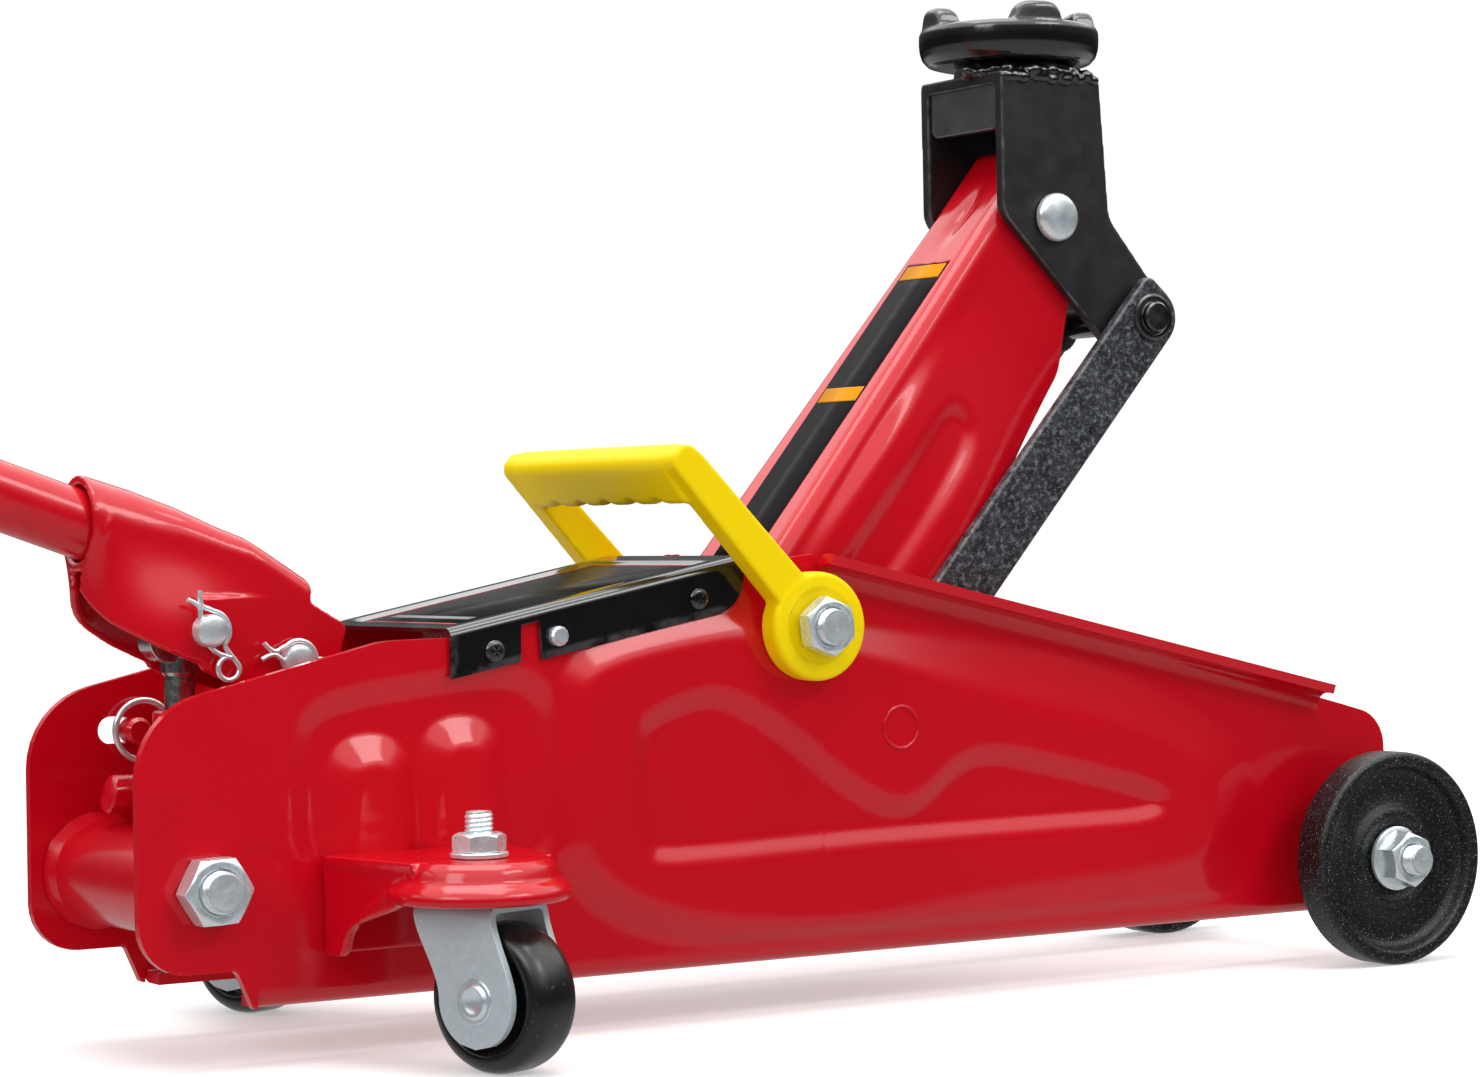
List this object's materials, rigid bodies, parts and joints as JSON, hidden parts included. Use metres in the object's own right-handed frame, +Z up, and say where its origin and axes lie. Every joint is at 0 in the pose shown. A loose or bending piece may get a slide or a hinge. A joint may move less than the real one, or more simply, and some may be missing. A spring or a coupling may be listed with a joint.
{
  "type": "hydraulic floor jack",
  "caption": "Low trolley jack on wheels and casters, with a pumped hydraulic lift arm, levelled saddle, carry handle and socketed pump handle.",
  "frame": {"origin": "on the floor, mid-width, halfway between the front of the front wheels and the end of the handle's grip", "axes": "+X towards the front wheels, +Z up, -Y towards the jack's right-hand side"},
  "size_m": [0.8698, 0.2115, 0.317],
  "materials": {
    "red_paint": "gloss",
    "black_paint": "semi-gloss",
    "black_hammered": "hammered",
    "black_cast": "grainy paint",
    "black_wheel": "satin",
    "yellow_plastic": "satin",
    "black_grip": "matte",
    "bright_steel": "ground",
    "zinc_plate": "bright zinc"
  },
  "bodies": {
    "chassis": {"side_plate_right": "red_paint", "side_plate_left": "red_paint", "caster_bracket_right": "red_paint", "caster_bracket_left": "red_paint", "caster_stud_right": "zinc_plate", "caster_stud_left": "zinc_plate", "caster_nut_right": "zinc_plate", "caster_nut_left": "zinc_plate", "cover_plate": "black_paint", "cover_screw_1": "black_paint", "cover_screw_2": "black_paint", "cover_screw_3": "black_paint", "cover_screw_4": "black_paint", "rear_tie_tube": "red_paint", "rear_tie_rod": "zinc_plate", "front_axle": "zinc_plate", "lift_shaft": "zinc_plate", "spring_pin": "zinc_plate", "rear_nut_right": "zinc_plate", "rear_nut_left": "zinc_plate", "axle_nut_right": "zinc_plate", "axle_nut_left": "zinc_plate", "shaft_nut_right": "zinc_plate", "shaft_nut_left": "zinc_plate", "link_stud_right": "zinc_plate", "link_stud_left": "zinc_plate", "side_pin": "red_paint", "side_pin_ring": "zinc_plate", "pump_block": "red_paint", "filler_plug": "black_grip", "ram_cylinder": "red_paint", "gland_nut": "bright_steel", "fulcrum_pin": "zinc_plate", "fulcrum_clip": "zinc_plate", "return_spring": "zinc_plate"},
    "lift_arm": {"lift_arm": "red_paint", "ram_pin": "zinc_plate"},
    "head": {"saddle_bracket": "black_paint", "head_pin": "zinc_plate", "link_pin": "black_paint"},
    "saddle": {"saddle": "black_paint"},
    "link_right": {"link_right": "black_hammered"},
    "link_left": {"link_left": "black_hammered"},
    "ram": {"ram": "bright_steel"},
    "handle_socket": {"handle_socket": "red_paint", "plunger_pin": "zinc_plate", "plunger_clip": "zinc_plate"},
    "handle": {"handle_tube": "red_paint", "handle_grip": "black_grip"},
    "plunger": {"pump_plunger": "bright_steel"},
    "release_valve": {"release_valve": "red_paint"},
    "carry_handle": {"carry_handle": "yellow_plastic"},
    "front_wheel_right": {"front_wheel_right": "black_cast"},
    "front_wheel_left": {"front_wheel_left": "black_cast"},
    "caster_fork_right": {"caster_fork_right": "zinc_plate", "caster_axle_right": "zinc_plate"},
    "caster_fork_left": {"caster_fork_left": "zinc_plate", "caster_axle_left": "zinc_plate"},
    "caster_wheel_right": {"caster_wheel_right": "black_wheel"},
    "caster_wheel_left": {"caster_wheel_left": "black_wheel"}
  },
  "joints": [
    {"name": "arm_lift", "type": "hinge", "parent": "chassis", "child": "lift_arm", "pos_m": [0.18136, 0, 0.117], "axis": [0, 1, 0], "range_deg": [0, 67], "deforming": ["return_spring"]},
    {"name": "head_level", "type": "hinge", "parent": "lift_arm", "child": "head", "pos_m": [0.2938, 0, 0.24544], "axis": [0, 1, 0], "range_deg": [-67, 0]},
    {"name": "link_right_swing", "type": "hinge", "parent": "chassis", "child": "link_right", "pos_m": [0.21576, -0.027, 0.0852], "axis": [0, 1, 0], "range_deg": [0, 67]},
    {"name": "link_left_swing", "type": "hinge", "parent": "chassis", "child": "link_left", "pos_m": [0.21576, 0.027, 0.0852], "axis": [0, 1, 0], "range_deg": [0, 67]},
    {"name": "saddle_swivel", "type": "hinge", "parent": "head", "child": "saddle", "pos_m": [0.29306, 0, 0.2962], "axis": [0, 0, 1], "continuous": true},
    {"name": "ram_slide", "type": "slide", "parent": "chassis", "child": "ram", "axis": [1, 0, 0], "range_m": [-0.047, 0]},
    {"name": "handle_pump", "type": "hinge", "parent": "chassis", "child": "handle_socket", "pos_m": [0.02436, 0, 0.1112], "axis": [0, 1, 0], "range_deg": [-8, 28]},
    {"name": "plunger_slide", "type": "slide", "parent": "chassis", "child": "plunger", "axis": [0, 0, 1], "range_m": [-0.004, 0.012]},
    {"name": "handle_twist", "type": "hinge", "parent": "handle_socket", "child": "handle", "pos_m": [-0.02884, 0, 0.1493], "axis": [-0.9426, 0, 0.3338], "continuous": true},
    {"name": "release_valve_turn", "type": "hinge", "parent": "chassis", "child": "release_valve", "pos_m": [-0.00014, 0.015, 0.0735], "axis": [1, 0, 0], "range_deg": [0, 360]},
    {"name": "carry_handle_swing", "type": "hinge", "parent": "chassis", "child": "carry_handle", "pos_m": [0.18136, 0, 0.117], "axis": [0, 1, 0], "range_deg": [-20, 34]},
    {"name": "front_wheel_right_spin", "type": "hinge", "parent": "chassis", "child": "front_wheel_right", "pos_m": [0.39986, -0.0604, 0.035], "axis": [0, 1, 0], "continuous": true},
    {"name": "front_wheel_left_spin", "type": "hinge", "parent": "chassis", "child": "front_wheel_left", "pos_m": [0.39986, 0.0604, 0.035], "axis": [0, 1, 0], "continuous": true},
    {"name": "caster_right_swivel", "type": "hinge", "parent": "chassis", "child": "caster_fork_right", "pos_m": [0.04986, -0.08, 0.0465], "axis": [0, 0, 1], "continuous": true},
    {"name": "caster_left_swivel", "type": "hinge", "parent": "chassis", "child": "caster_fork_left", "pos_m": [0.04986, 0.08, 0.0465], "axis": [0, 0, 1], "continuous": true},
    {"name": "caster_right_roll", "type": "hinge", "parent": "caster_fork_right", "child": "caster_wheel_right", "pos_m": [0.05266, -0.08771, 0.0205], "axis": [0.9397, 0.342, 0], "continuous": true},
    {"name": "caster_left_roll", "type": "hinge", "parent": "caster_fork_left", "child": "caster_wheel_left", "pos_m": [0.05266, 0.07229, 0.0205], "axis": [0.9397, 0.342, 0], "continuous": true}
  ],
  "couplings": [
    {"joint": "head_level", "follows": "arm_lift", "ratio": -1},
    {"joint": "link_right_swing", "follows": "arm_lift", "ratio": 1},
    {"joint": "link_left_swing", "follows": "arm_lift", "ratio": 1},
    {"joint": "ram_slide", "follows": "arm_lift", "m_per_rad": -0.03964},
    {"joint": "plunger_slide", "follows": "handle_pump", "m_per_rad": 0.024}
  ]
}
